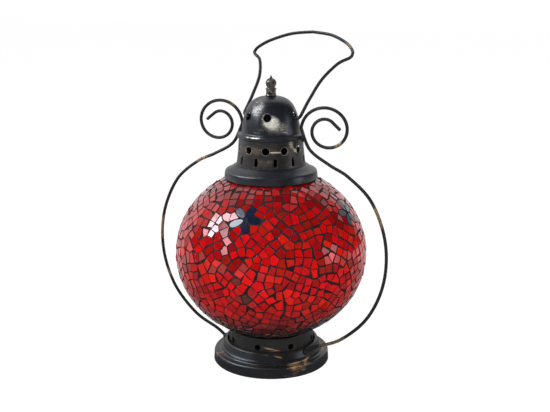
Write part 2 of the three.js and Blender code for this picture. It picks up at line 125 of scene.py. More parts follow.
def settle(piece, name, finish, node, rides=body, smooth=30):
    pick(piece)
    applyPlace()
    if smooth:
        bpy.ops.object.shade_smooth_by_angle(angle=radians(smooth))
    piece.name = piece.data.name = name
    piece.data.materials.clear()
    piece.data.materials.append(finish)
    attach(piece, rides)
    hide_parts(node)


# A rounded corner of a profile, from start to end and drawn towards peak
def corner(start, peak, end, steps=6):
    points = []
    for i in range(steps + 1):
        t = i / steps
        points.append(tuple(
            a * (1 - t) ** 2 + 2 * b * t * (1 - t) + c * t ** 2 for a, b, c in zip(start, peak, end)))
    return points


def cubic(a, b, c, d, steps):  # a longer curve with two handles
    points = []
    for i in range(steps + 1):
        t = i / steps
        points.append(tuple(
            p * (1 - t) ** 3 + 3 * q * t * (1 - t) ** 2 + 3 * r * t * t * (1 - t) + s * t ** 3
            for p, q, r, s in zip(a, b, c, d)))
    return points


# A smooth line through points, for beads and coves
def flowing(points, steps=5):
    line = []
    for i in range(len(points) - 1):
        p = [points[max(0, min(len(points) - 1, k))] for k in (i - 1, i, i + 1, i + 2)]
        for j in range(steps):
            t = j / steps
            line.append(tuple(
                0.5 * (2 * b + (c - a) * t + (2 * a - 5 * b + 4 * c - d) * t * t
                       + (3 * b - a - 3 * c + d) * t ** 3) for a, b, c, d in zip(*p)))
    line.append(tuple(points[-1]))
    return line


# Merges seams and poles of what is being edited and turns its faces outwards
def closeShell():
    bpy.ops.mesh.select_all(action='SELECT')
    bpy.ops.mesh.remove_doubles(threshold=0.004 * mm)
    bpy.ops.mesh.normals_make_consistent(inside=False)
    setMode('OBJECT')


# Draws a profile of (radius, height) in millimetres and spins it round the lantern's axis
def spun(line, sides, wall=0, edge=0.15):
    selectNothing()
    start = Vector((line[0][0], 0, line[0][1])) * mm
    bpy.ops.mesh.primitive_plane_add(size=mm, location=start)
    piece = bpy.context.object
    setMode('EDIT')
    bpy.ops.mesh.select_mode(type='VERT')
    bpy.ops.mesh.select_all(action='SELECT')
    bpy.ops.mesh.merge(type='CENTER')
    before = start
    for radius, height in line[1:]:
        here = Vector((radius, 0, height)) * mm
        bpy.ops.mesh.extrude_region_move(TRANSFORM_OT_translate={'value': here - before})
        before = here
    bpy.ops.mesh.select_all(action='SELECT')
    bpy.ops.mesh.spin(steps=sides, angle=2 * pi, center=(0, 0, 0), axis=(0, 0, 1))
    closeShell()
    if wall:
        useModifier(piece, 'SOLIDIFY', thickness=wall * mm, offset=-1, use_even_offset=True)
    if edge:
        breakEdges(piece, edge, 40)
    return piece


cutDepth = 12  # how far a cutter reaches through a wall


# Pierces a wall with a cutter copied round the axis, and breaks the cut edges
def pierce(piece, cutter, turns, edge=0.12):
    cutters = [copied(cutter, Matrix.Rotation(radians(turn), 4, 'Z')) for turn in turns]
    bpy.data.objects.remove(cutter)
    cutAway(piece, joinPieces(cutters))
    if edge:
        breakEdges(piece, edge, 50)


def turnsOf(look):  # where the holes of a row stand
    return [look['firstHole'] + 360 * i / look['holes'] for i in range(look['holes'])]


def roundCutter(radius, height, reach, depth=cutDepth):
    selectNothing()
    bpy.ops.mesh.primitive_cylinder_add(
        vertices=32, radius=radius * mm, depth=depth * mm,
        location=(reach * mm, 0, height * mm), rotation=(0, pi / 2, 0))
    applyPlace()
    return bpy.context.object


def slotCutter(width, tall, height, reach, rounding):
    selectNothing()
    bpy.ops.mesh.primitive_cube_add(size=mm, location=(reach * mm, 0, height * mm),
                                    scale=(cutDepth, width, tall))
    applyPlace()
    cutter = bpy.context.object
    setMode('EDIT')
    bpy.ops.mesh.select_mode(type='EDGE')
    bpy.ops.mesh.select_all(action='DESELECT')
    setMode('OBJECT')
    for edge in cutter.data.edges:  # the four edges that lie along the cut
        a, b = (cutter.data.vertices[v].co for v in edge.vertices)
        edge.select = abs(a.x - b.x) > mm
    setMode('EDIT')
    bpy.ops.mesh.bevel(offset=rounding * mm, segments=5, affect='EDGES')
    setMode('OBJECT')
    return cutter


# Round wire through points in millimetres, with its ends broken
def bentWire(points, diameter):
    selectNothing()
    bpy.ops.curve.primitive_bezier_curve_add()
    curve = bpy.context.object.data
    curve.splines.clear()
    spline = curve.splines.new('POLY')
    spline.points.add(len(points) - 1)
    for point, place in zip(spline.points, points):
        point.co = (*(Vector(place) * mm), 1)
    curve.dimensions = '3D'
    curve.twist_mode = 'MINIMUM'
    curve.bevel_depth = diameter / 2 * mm
    curve.bevel_resolution = 4
    curve.use_fill_caps = True
    bpy.ops.object.convert(target='MESH')
    wire = bpy.context.object
    setMode('EDIT')
    closeShell()
    breakEdges(wire, 0.35, 60, segments=3)
    return wire


# Working out patterns for materials

class Signal:
    def __init__(self, tree, socket):
        self.tree = tree
        self.socket = socket

    def node(self, kind, settings=None, inputs=None, output=0):
        made = self.tree.nodes.new(kind)
        for key, value in (settings or {}).items():
            setattr(made, key, value)
        for key, value in (inputs or {}).items():
            fill(made.inputs[key], value)
        return Signal(self.tree, made.outputs[output])

    def math(self, operation, *values):
        return self.node('ShaderNodeMath', {'operation': operation}, dict(enumerate(values)))

    def __add__(self, other):
        return self.math('ADD', self, other)

    __radd__ = __add__

    def __sub__(self, other):
        return self.math('SUBTRACT', self, other)

    def __rsub__(self, other):
        return self.math('SUBTRACT', other, self)

    def __mul__(self, other):
        return self.math('MULTIPLY', self, other)

    __rmul__ = __mul__

    def __pow__(self, other):
        return self.math('POWER', self, other)

    def __abs__(self):
        return self.math('ABSOLUTE', self)

    def over(self, other):
        return self.math('MAXIMUM', self, other)

    def rise(self, low, high):  # 0 below low, 1 above high
        return self.node('ShaderNodeMapRange', {'interpolation_type': 'SMOOTHSTEP'},
                         {'Value': self, 'From Min': low, 'From Max': high})

    def along(self, direction):  # distance along a direction
        return self.node('ShaderNodeVectorMath', {'operation': 'DOT_PRODUCT'},
                         {0: self, 1: direction}, 'Value')

    def colour(self, first, second):  # mixed by this signal
        return self.node('ShaderNodeMix', {'data_type': 'RGBA'}, {0: self, 6: first, 7: second}, 2)

    def scaled(self, share):  # a place or a colour times a number
        return self.node('ShaderNodeVectorMath', {'operation': 'SCALE'}, {0: self, 'Scale': share})

    def rays(self, kind):  # 1 for the rays of a kind
        return self.node('ShaderNodeLightPath', output=f'Is {kind} Ray')

    def noise(self, size, stretch=(1, 1, 1), detail=3, rough=0.5, shift=0.0):
        spread = self.node('ShaderNodeMapping', None, {
            'Vector': self, 'Scale': [s / size for s in stretch], 'Location': (shift, shift, shift)})
        return spread.node('ShaderNodeTexNoise', None, {
            'Vector': spread, 'Scale': 1.0, 'Detail': detail, 'Roughness': rough})


def coordinates(tree, kind):
    return Signal(tree, tree.nodes.new('ShaderNodeTexCoord').outputs[kind])


def fill(socket, value):
    if isinstance(value, Signal):
        value.tree.links.new(value.socket, socket)
    else:
        socket.default_value = value


def feed(shader, **values):
    for key, value in values.items():
        fill(shader.inputs[key.replace('_', ' ')], value)


def feedBump(shader, height, depth):  # depth in millimetres
    feed(shader, Normal=height.node('ShaderNodeBump', None, {'Distance': depth * mm, 'Height': height}))


# A new material: its shader, and the place on the piece in millimetres
def newFinish(name, **fixed):
    finish = bpy.data.materials.new(name)
    finish.use_nodes = True
    shader = finish.node_tree.nodes['Principled BSDF']
    feed(shader, **fixed)
    return finish, shader, coordinates(finish.node_tree, 'Object').scaled(1 / mm)


def toned(colour, share=1.0):  # lighter or darker, with its alpha
    return (*[min(1, c * share) for c in colour], 1)


def heading(turn, height=0):  # a direction, from its angles in degrees
    t, h = radians(turn), radians(height)
    return Vector((cos(t) * cos(h), sin(t) * cos(h), sin(h)))


# Where a patch of wear, and of painted sheen, lies on a round piece: 1 in its middle, 0 outside
def patchAt(place, turn, out, height, across, tall, lean=0):
    outward, around, upward = heading(turn), heading(turn + 90), Vector((0, 0, 1))
    middle = outward * out + upward * height
    tilt = radians(lean)
    first = (around * cos(tilt) + upward * sin(tilt)) / across
    second = (upward * cos(tilt) - around * sin(tilt)) / tall
    side = place.along(first) - first.dot(middle)
    up = place.along(second) - second.dot(middle)
    reach = (side * side + up * up) ** 0.5
    return (1 - reach.rise(0.3, 1.0)) * place.along(outward).rise(0, 4)


# A rub: where it lies, its size and lean, how much it covers and how strong it is, how far its wear is
# brightened (partly a painted highlight), and how far a painted sheen of streaks spreads round it
def rub(turn, out, height, across, tall, lean=0, **wear):
    usual = {'cover': 0.75, 'strength': 1.0, 'glow': 0, 'halo': 0}
    return {'patch': (turn, out, height, across, tall, lean), **usual, **wear}


# Wear round the chimney's openings, on the band that they stand in and on their edges, and a painted
# highlight on the rims of the round holes
def openingWear(place, broken, look):
    x, y, z = (place.along(axis) for axis in ((1, 0, 0), (0, 1, 0), (0, 0, 1)))
    count, radius = look['holes'], look['holeRadius']
    pitch = 2 * pi * look['holeOut'] / count
    turns = x.math('ARCTAN2', y, x) * (count / (2 * pi)) - look['firstHole'] * count / 360
    aside = (turns - turns.math('ROUND', turns)) * pitch
    above = z - look['holeHeight']
    hole = 1 - ((aside * aside + above * above) ** 0.5).rise(radius + 0.05, radius + 0.42)
    turns = turns - 0.5
    beside = abs((turns - turns.math('ROUND', turns)) * pitch) - look['slotWide'] / 2
    upper = abs(z - look['slotHeight']) - look['slotTall'] / 2
    slot = 1 - beside.over(upper).rise(0.05, 0.42)
    band = 1 - abs(above).rise(1.8, 4.6)
    worn = (broken + band * 0.42).rise(0.9, 1.2) * look['bandWear']
    worn = worn.over(hole * broken.rise(0.15, 0.6) * look['edgeWear'])
    return worn.over(slot * broken.rise(0.3, 0.7) * look['edgeWear'] * 0.8), hole * 0.7


# Blackened sheet metal, rubbed down to bronze where it is handled.
# The wear's three colours are its dark, its middle and its bright parts; some patches are lightened towards
# the bright one as painted highlights.
bronzeWear = ((0.07, 0.04, 0.024), (0.36, 0.2, 0.1), (0.85, 0.66, 0.44))
brassWear = ((0.06, 0.045, 0.03), (0.27, 0.2, 0.125), (0.8, 0.72, 0.56))
silverWear = ((0.10, 0.09, 0.08), (0.4, 0.36, 0.31), (0.95, 0.92, 0.84))
hemWear = ((0.09, 0.045, 0.02), (0.62, 0.34, 0.15), (1.0, 0.74, 0.42))


def agedBlack(name, black=(0.0075, 0.0082, 0.0108), rough=0.3, rubs=(), ridgeWearAndGlints=(), haze=0.0, pierced=None,
              wear=bronzeWear, spinDepth=0.02):
    finish, shader, place = newFinish(name, IOR=1.85)
    streak = place.noise(1.3, (0.1, 0.1, 2.6), detail=5, rough=0.72)
    mottle = place.noise(8, detail=5, rough=0.6)
    grain = place.noise(0.6, detail=3, rough=0.6)
    lines = place.noise(1.0, (0.05, 0.05, 2.6), detail=3, rough=0.65, shift=7.3)
    fleck = place.noise(1.1, (0.5, 0.5, 1.6), detail=4, rough=0.7, shift=2.6)
    broken = ((streak - 0.5) * 1.8 + (mottle - 0.5) * 1.2 + (grain - 0.5) * 1.5 + (fleck - 0.5) * 0.9) + 0.5

    bare = (broken + haze * 0.5).rise(0.95, 1.15) * haze
    glow = bare * 0
    for each in rubs:
        spread = patchAt(place, *each['patch'])
        worn = (broken + spread * each['cover']).rise(0.88, 1.26) * spread.rise(0, 0.3)
        bare = bare.over(worn * each['strength'])
        # painted highlight: these patches are lightened towards the wear's bright colour, and a sheen of bare
        # streaks spreads round them
        if each['glow']:
            scuffedSheen = spread.rise(0.1, 0.9) * (streak * 0.5 + fleck * 0.5).rise(0.25, 0.6)
            bare, glow = bare.over(scuffedSheen * each['halo']), glow.over(spread * each['glow'])
    for height in ridgeWearAndGlints:  # a thin line of wear along an edge, partly a painted glint of light there
        near = 1 - abs(place.along((0, 0, 1)) - height).rise(0.15, 0.6)
        bare = bare.over(near * broken.rise(0.5, 0.85) * 0.1)
    if pierced:
        worn, shine = openingWear(place, broken, pierced)
        bare, glow = bare.over(worn), glow.over(shine)

    low, middle, high = (toned(colour) for colour in wear)
    dark = mottle.colour(toned(black, 0.55), toned(black, 1.6))
    warm = (grain * 0.45 + streak * 0.55 + glow * 0.12).rise(0.36, 0.66).colour(low, middle)
    warm = (fleck * 0.5 + streak * 0.5 + glow * 0.3).rise(0.52, 0.9).colour(warm, high)
    feed(shader, Base_Color=bare.colour(dark, warm), Metallic=bare * 0.55,
         Roughness=(rough - 0.06) + 0.12 * mottle + 0.08 * streak - bare * (rough - 0.3) * 0.5)
    feedBump(shader, lines * 0.5 + grain * 0.2 + mottle * 0.7 - bare * 0.3, spinDepth)
    return finish


def agedWire(name, rubs):  # each rub has its place, its reach and its strength
    finish, shader, place = newFinish(name, IOR=1.5)
    patches = place.noise(13, detail=3, rough=0.6, shift=2.1)
    speck = place.noise(0.8, detail=3, rough=0.65)
    bare = (patches * 0.7 + speck * 0.5).rise(0.72, 0.8) * 0.7
    for spot, reach, strength in rubs:
        gap = place.node('ShaderNodeVectorMath', {'operation': 'DISTANCE'}, {0: place, 1: spot}, 'Value')
        bare = bare.over(((1 - gap.rise(0.3 * reach, reach)) * 0.4 + speck).rise(0.78, 0.96) * strength)
    dark = speck.colour((0.010, 0.010, 0.012, 1), (0.026, 0.025, 0.027, 1))
    worn = speck.colour((0.3, 0.18, 0.09, 1), (0.85, 0.6, 0.33, 1))
    feed(shader, Base_Color=bare.colour(dark, worn), Metallic=bare * 0.85,
         Roughness=0.36 + 0.16 * patches)
    feedBump(shader, speck * 0.7 + place.noise(0.5) * 0.3, 0.03)
    return finish


def plainMetal(name, tone, rough):
    finish, shader, place = newFinish(name, Metallic=1.0)
    cloud = place.noise(6, detail=4)
    turned = place.noise(0.8, (0.06, 0.06, 2.0), detail=3, shift=3.7)
    feed(shader, Base_Color=cloud.colour(toned(tone, 0.75), toned(tone, 1.25)),
         Roughness=rough - 0.08 + 0.18 * cloud)
    feedBump(shader, turned * 0.7 + cloud * 0.3, 0.015)
    return finish


# Foot
footLook = {
    'sides': 144, 'wall': 1.2,
    'hem': [(44.2, 0.0), (46.7, 0.0)],
    'skirt': [(47.2, 0.6), (46.95, 4.2), (46.8, 6.6), (46.75, 7.4), (46.35, 8.35), (45.5, 8.85), (44.6, 8.8)],
    'cove': [(43.4, 8.55), (42.0, 8.6), (41.1, 9.1), (40.75, 9.9), (40.75, 10.6), (40.35, 11.3)],
    'step': [(39.85, 11.65), (39.6, 12.3), (38.9, 14.7), (38.45, 16.2), (38.2, 17.1), (37.65, 17.62),
             (36.9, 17.7), (36.1, 17.55)],
    'ridgeWearAndGlints': (8.75, 17.5),
    'rubs': [
        rub(-36, 45.8, 8.6, 12, 1.9, lean=4, cover=0.62, glow=0.6),
        rub(-22, 44.2, 9.2, 10, 1.6, lean=14, cover=0.6, glow=0.6),
        rub(-34, 46.8, 6.0, 12, 3.0, cover=0.52),
        rub(-41, 47.0, 2.2, 10, 2.6, cover=0.45),
        rub(-54, 38.4, 15.2, 5.6, 1.0, lean=-16, cover=0.9),
        rub(-68, 38.2, 16.4, 5, 0.5, lean=-12, cover=0.8),
        rub(-134, 46.0, 8.4, 4, 1.8, lean=-40, cover=0.9),
        rub(112, 46.6, 7.4, 12, 2.6, cover=0.6),
        rub(20, 46.6, 8.0, 9, 1.6, cover=0.6)],
}
footLine = footLook['hem'] + flowing(footLook['skirt'] + footLook['cove'] + footLook['step'])
foot = spun(footLine, footLook['sides'], footLook['wall'], edge=0.2)
footFinish = agedBlack('black_foot', (0.0085, 0.0095, 0.0125), 0.33, footLook['rubs'], footLook['ridgeWearAndGlints'],
                       haze=0.12, wear=hemWear)
settle(foot, 'foot_spun', footFinish, 'foot')
print('foot done')


# Plate and gallery ring
plateLook = {'inner': 26.0, 'outer': 37.4, 'low': 13.1, 'top': 14.3}
inner, outer, low, top = plateLook.values()
plate = spun([(inner, low), (outer, low), (outer, top), (inner, top), (inner, low)], 96)
sheetFinish = agedBlack('black_inner_sheet', rough=0.5, haze=0.25, spinDepth=0.03)
settle(plate, 'support_plate_spun', sheetFinish, 'support_plate')

ringLook = {
    'radius': 34.6, 'wall': 1.0, 'low': 14.3, 'tall': 14.1, 'waist': 0.12,
    'holes': 8, 'holeRadius': 2.5, 'holeHeight': 20.7, 'firstHole': -35,
    'rubs': [
        rub(-62, 34.6, 20.0, 12, 0.9, lean=-13, cover=1.1, glow=0.8),
        rub(-58, 34.6, 18.2, 6, 0.9, cover=0.6, strength=0.6),
        rub(140, 34.6, 22, 7, 1.4, cover=0.6)],
}
ring = spun([(ringLook['radius'] - ringLook['waist'] * sin(pi * i / 8),
              ringLook['low'] + ringLook['tall'] * i / 8) for i in range(9)], 120, ringLook['wall'], edge=0.2)
ringCutter = roundCutter(ringLook['holeRadius'], ringLook['holeHeight'], ringLook['radius'])
pierce(ring, ringCutter, turnsOf(ringLook))
# painted light: this black is lighter than the other black parts, to make up for the shade that the globe
# casts on the ring
ringFinish = agedBlack('black_ring', (0.02, 0.0185, 0.0175), 0.36, ringLook['rubs'], haze=0.12)
settle(ring, 'gallery_ring_pierced', ringFinish, 'gallery_ring')
print('plate and ring done')


# Candle tray, cup and rivet
trayLook = {'wall': 0.8, 'hole': 1.9, 'top': 17.3, 'plug': 25.7,
            'flange': [(25.7, 12.9), (26.0, 12.8), (28.9, 12.8), (29.3, 12.6)]}
top, plug = trayLook['top'], trayLook['plug']
tray = spun([(trayLook['hole'], top), (23.9, top)] + corner((24.6, top), (plug, top), (plug, 16.2))
            + trayLook['flange'], 80, trayLook['wall'])
settle(tray, 'candle_tray_pressed', sheetFinish, 'candle_tray', 'tray')

cupLook = {'wall': 0.8, 'foot': 17.3, 'floor': 19.1, 'rim': 32.3, 'radius': 20.8}
cup = spun([(1.9, cupLook['foot']), (4.4, cupLook['foot']), (5.6, cupLook['floor'])]
           + corner((18.7, cupLook['floor']), (20.2, cupLook['floor']), (20.2, 20.6))
           + [(20.45, 26.0), (cupLook['radius'], cupLook['rim'])], 80, cupLook['wall'])
settle(cup, 'candle_cup_pressed', plainMetal('bright_tin', (0.52, 0.52, 0.53), 0.34),
       'candle_cup', 'tray')

rivet = spun([(0, 15.0), (1.9, 15.0), (2.2, 15.3), (2.2, 16.2), (1.6, 16.2), (1.6, 18.4), (3.4, 18.4),
              (3.3, 18.8), (2.2, 19.5), (0, 19.6)], 32, edge=0)
settle(rivet, 'cup_rivet_headed', plainMetal('rivet_steel', (0.5, 0.5, 0.51), 0.38),
       'cup_rivet', 'tray')
print('tray done')


# Blown glass under the tiles
glassLook = {'sides': 96, 'radius': 74.6, 'halfHeight': 66.8, 'mouth': 27.0, 'wall': 2.2}


# One side of the globe as a profile, from the lower mouth to the upper one
def ellipseLine(radius, halfHeight, mouth, steps):
    top = acos(mouth / radius)
    return [(radius * cos(a), globeCentre + halfHeight * sin(a))
            for a in (-top + 2 * top * i / steps for i in range(steps + 1))]


glass = spun(ellipseLine(glassLook['radius'], glassLook['halfHeight'], glassLook['mouth'], 48),
             glassLook['sides'], glassLook['wall'], edge=0.3)
glassFinish, shader, place = newFinish('clear_glass', IOR=1.5, Roughness=0.03, Transmission_Weight=1.0)
feed(shader, Base_Color=place.noise(30).colour((0.86, 0.85, 0.83, 1), (0.95, 0.94, 0.92, 1)))
feedBump(shader, place.noise(9, detail=2), 0.1)
settle(glass, 'glass_globe_blown', glassFinish, 'glass_globe')
print('glass done')


# Mosaic: tiles cut by hand out of larger patches, flowers of five petals, and grout in the joints
mosaicLook = {
    'radius': 76.7, 'halfHeight': 68.9, 'nearMouth': 29.5, 'seed': 29,
    'patches': 130, 'shake': 0.13, 'pitch': 6.4, 'stray': 0.09, 'closest': 0.64, 'petalRoom': 7.4,
    'joint': 0.4, 'slack': 0.75, 'skew': 4.0, 'tilt': 0.048, 'thick': 1.1, 'edge': 0.07, 'sunk': 0.14,
    'shortest': 1.3, 'least': 9, 'groutDepth': 0.42, 'groutMouth': 27.3, 'groutWall': 1.1,
    'flowers': [((10.4, -59.7, 41.1), 64), ((62.5, 6.4, 38.1), 20), ((46.4, -17.2, -52.4), 50),
                ((-52.0, 40.0, 28.0), 10), ((6.0, 66.0, -22.0), 35), ((-46.0, -40.0, -42.0), 0)],
    'reds': (0.3, 0.4, 0.47, 0.54, 0.6, 0.68),
    'brownSpots': [((17.7, -70.9, -15.8), 6.5), ((30, -38, -55), 10), ((10.3, -74.2, -4), 3.5),
                   ((-40, 52, 30), 8)],
    'brown': (0.085, 0.028, 0.022, 1),
}
petalLook = {'length': 10.4, 'width': 5.8, 'start': 1.7, 'between': 9.6, 'tilt': 0.02, 'sunk': 0.12,
             'blue': (0.0085, 0.013, 0.036)}
dice = random.Random(mosaicLook['seed'])
sizes = Vector((mosaicLook['radius'], mosaicLook['radius'], mosaicLook['halfHeight']))


def onGlobe(point):  # the place on the tiles' outer face
    scaled = Vector(point[i] / sizes[i] for i in range(3))
    scaled.normalize()
    return Vector(scaled[i] * sizes[i] for i in range(3))


def facing(point):
    return Vector(point[i] / sizes[i] ** 2 for i in range(3)).normalized()


def tangents(normal, turn=0.0):
    side = Vector((-normal.y, normal.x, 0)).normalized()
    up = normal.cross(side)
    return side * cos(turn) + up * sin(turn), up * cos(turn) - side * sin(turn)


def flattened(direction, normal):  # a direction laid into the plane square to normal
    return (direction - normal * direction.dot(normal)).normalized()


def tipped(normal, amount):  # a little askew, as pressed in by hand
    return (normal + Vector(dice.gauss(0, 1) for _ in range(3)) * amount).normalized()


def edgesOf(outline):
    return zip(outline, outline[1:] + outline[:1])


def clip(outline, nx, ny, limit):  # keeps the part where nx*x + ny*y <= limit
    kept = []
    for (x0, y0), (x1, y1) in edgesOf(outline):
        d0, d1 = nx * x0 + ny * y0 - limit, nx * x1 + ny * y1 - limit
        if d0 <= 0:
            kept.append((x0, y0))
        if d0 * d1 < 0:
            t = d0 / (d0 - d1)
            kept.append((x0 + t * (x1 - x0), y0 + t * (y1 - y0)))
    return kept


def areaOf(outline):
    return sum(x0 * y1 - x1 * y0 for (x0, y0), (x1, y1) in edgesOf(outline)) / 2


def middleOf(outline):
    total = areaOf(outline) or 1e-9
    cx = cy = 0
    for (x0, y0), (x1, y1) in edgesOf(outline):
        step = x0 * y1 - x1 * y0
        cx += (x0 + x1) * step
        cy += (y0 + y1) * step
    return cx / (6 * total), cy / (6 * total)


# Petals: leaf outlines, pointed at both ends and fuller outside
petals = []
blocks = []  # rounds that the tiles keep off
flowerSeats = [(onGlobe(centre), turn) for centre, turn in mosaicLook['flowers']]
for middle, turn in flowerSeats:
    for k in range(5):
        out = tangents(facing(middle), radians(turn + 72 * k + dice.uniform(-6, 6)))[0]
        half = petalLook['length'] / 2 * dice.uniform(0.92, 1.06)
        wide = petalLook['width'] / 2 * dice.uniform(0.92, 1.1)
        seat = onGlobe(middle + out * (petalLook['start'] + half))
        normal = facing(seat)
        along = flattened(out, normal)
        outline = [(half * cos(a), wide * sin(a) * (1 + 0.25 * cos(a)))
                   for a in (2 * pi * i / 14 for i in range(14))]
        petals.append({'seat': seat, 'normal': normal, 'along': along, 'outline': outline})
        for share, radius in ((-0.55, 1.6), (0.0, wide * 0.95), (0.5, wide * 0.9)):
            blocks.append((onGlobe(seat + along * half * share), radius))


# The room round one of many places: its cell, flat on the globe, between it and its neighbours
def cellOf(places, i, widest=30, nearest=16):
    seed = Vector(places[i])
    side, up = tangents(facing(seed))
    outline = [(-widest, -widest), (widest, -widest), (widest, widest), (-widest, widest)]
    gaps = np.linalg.norm(places - places[i], axis=1)
    for j in np.argpartition(gaps, nearest - 1)[:nearest]:
        if j == i:
            continue
        q = Vector(places[j]) - seed
        x, y = q.dot(side), q.dot(up)
        far = hypot(x, y)
        outline = clip(outline, x / far, y / far, (q.length / 2) * (q.length / far))
        if len(outline) < 3:
            break
    return outline, side, up


def eased(places, kept, share):  # moves places to the middle of their cells
    moved = places.copy()
    for i in range(kept, len(places)):
        outline, side, up = cellOf(places, i)
        x, y = middleOf(outline)
        moved[i] = onGlobe(Vector(places[i]) + (side * x + up * y) * share)
    return moved


def scattered(count, shake):  # places spread evenly over the globe, then shaken
    golden = pi * (3 - sqrt(5))
    for i in range(count):
        height = 1 - 2 * (i + 0.5) / count
        flat = sqrt(1 - height * height)
        nudge = Vector(dice.uniform(-shake, shake) for _ in range(3))
        yield onGlobe(Vector((flat * cos(golden * i), flat * sin(golden * i), height)) + nudge)


# Where the tiles lie: squares in rows in every patch, with the patches turned at random
petalSeats = [petal['seat'] for petal in petals]
betweenSeats = []  # between the petals' ends
for middle, turn in flowerSeats:
    for k in range(5):
        out = tangents(facing(middle), radians(turn + 72 * k + 36))[0]
        betweenSeats.append(onGlobe(middle + out * petalLook['between']))
patches = eased(np.array([tuple(p) for p in scattered(mosaicLook['patches'], mosaicLook['shake'])]), 0, 0.7)
seats = [tuple(p) for p in petalSeats + betweenSeats]
pitch, stray = mosaicLook['pitch'], mosaicLook['stray']
for i in range(len(patches)):
    outline, side, up = cellOf(patches, i)
    turn = dice.uniform(0, pi / 2)
    reach = range(-5, 6)
    for row in reach:
        for column in reach:
            x, y = (column + dice.gauss(0, stray)) * pitch, (row + dice.gauss(0, stray)) * pitch
            x, y = x * cos(turn) - y * sin(turn), x * sin(turn) + y * cos(turn)
            if not all((x1 - x0) * (y - y0) > (y1 - y0) * (x - x0)
                       for (x0, y0), (x1, y1) in edgesOf(outline)):
                continue  # outside the patch
            seat = onGlobe(Vector(patches[i]) + side * x + up * y)
            if any((seat - petal).length < mosaicLook['petalRoom'] for petal in petalSeats):
                continue
            if np.linalg.norm(np.array(seats) - seat, axis=1).min() > pitch * mosaicLook['closest']:
                seats.append(tuple(seat))
seats = eased(np.array(seats), len(petalSeats), 0.45)


# Moves each edge in for the joint, a little askew, as a hand-laid tile has it
def trimmed(outline):
    kept = outline
    for (x0, y0), (x1, y1) in edgesOf(outline):
        length = hypot(x1 - x0, y1 - y0)
        if length < 0.3:
            continue
        skew = radians(dice.gauss(0, mosaicLook['skew']) * min(1, 5 / length))
        turn = atan2(y1 - y0, x1 - x0) + skew
        nx, ny = sin(turn), -cos(turn)
        inward = mosaicLook['joint'] / 2 + mosaicLook['slack'] * dice.random() ** 2
        kept = clip(kept, nx, ny, nx * (x0 + x1) / 2 + ny * (y0 + y1) / 2 - inward)
        if len(kept) < 3:
            return []
    return kept


def plainer(outline):  # few and sharp corners, as a cut tile has
    kept = []
    for point in outline:
        if not kept or dist(point, kept[-1]) > mosaicLook['shortest']:
            kept.append(point)
    if len(kept) > 2 and dist(kept[0], kept[-1]) <= mosaicLook['shortest']:
        kept.pop()
    while len(kept) > 3:
        loss, i = min((abs(areaOf([kept[i - 1], kept[i], kept[(i + 1) % len(kept)]])), i)
                      for i in range(len(kept)))
        if loss / areaOf(kept) > (0.17 if len(kept) > 4 else 0.05):
            break
        kept.pop(i)
    return kept


# One flat tile: a chamfered top, its sides and its back
def addTile(mesh, layer, seat, along, normal, outline, tint, sunk):
    across = normal.cross(along)
    cx, cy = middleOf(outline)
    edge = mosaicLook['edge']
    rings = []
    for inset, depth in ((edge, 0.0), (0.0, edge * 0.8), (0.0, mosaicLook['thick'])):
        ring = []
        for x, y in outline:
            share = 1 - inset * 1.25 / hypot(x - cx, y - cy)
            px, py = cx + (x - cx) * share, cy + (y - cy) * share
            vertex = mesh.verts.new((seat + along * px + across * py + normal * (-sunk - depth)) * mm)
            vertex[layer] = tint
            ring.append(vertex)
        rings.append(ring)
    mesh.faces.new(rings[0])
    for upper, lower in zip(rings, rings[1:]):
        for i in range(len(outline)):
            k = (i + 1) % len(outline)
            mesh.faces.new((upper[k], upper[i], lower[i], lower[k]))
    mesh.faces.new(list(reversed(rings[-1])))


def meshPiece(name, build):
    mesh = bmesh.new()
    build(mesh, mesh.verts.layers.float_color.new('tint'))
    for vertex in mesh.verts:
        vertex.co.z += globeCentre * mm
    data = bpy.data.meshes.new(name)
    mesh.to_mesh(data)
    mesh.free()
    piece = bpy.data.objects.new(name, data)
    bpy.context.scene.collection.objects.link(piece)
    return piece


def redTintWithPaintedShade(place):
    height = place.z / mosaicLook['halfHeight']
    # painted shade: the red is darker towards the top and far darker towards the bottom, and turns brown near
    # the foot, where less light comes through the globe
    depth = 1.0 - 0.7 * max(0, height - 0.2) - 0.8 * max(0, -height - 0.3) - 2.2 * max(0, -height - 0.62)
    depth = max(depth, 0.12)
    brown = min(1, max(0, -height - 0.4) * 2.8)  # little light comes through near the foot
    red = dice.choice(mosaicLook['reds']) * dice.uniform(0.88, 1.12) * depth
    warm = dice.choice((0.003, 0.0035, 0.005, 0.011))
    cool = dice.choice((0.0035, 0.0045, 0.007))
    return (red * (1 - 0.72 * brown), warm * depth + 0.013 * brown, cool * depth + 0.014 * brown, 1)


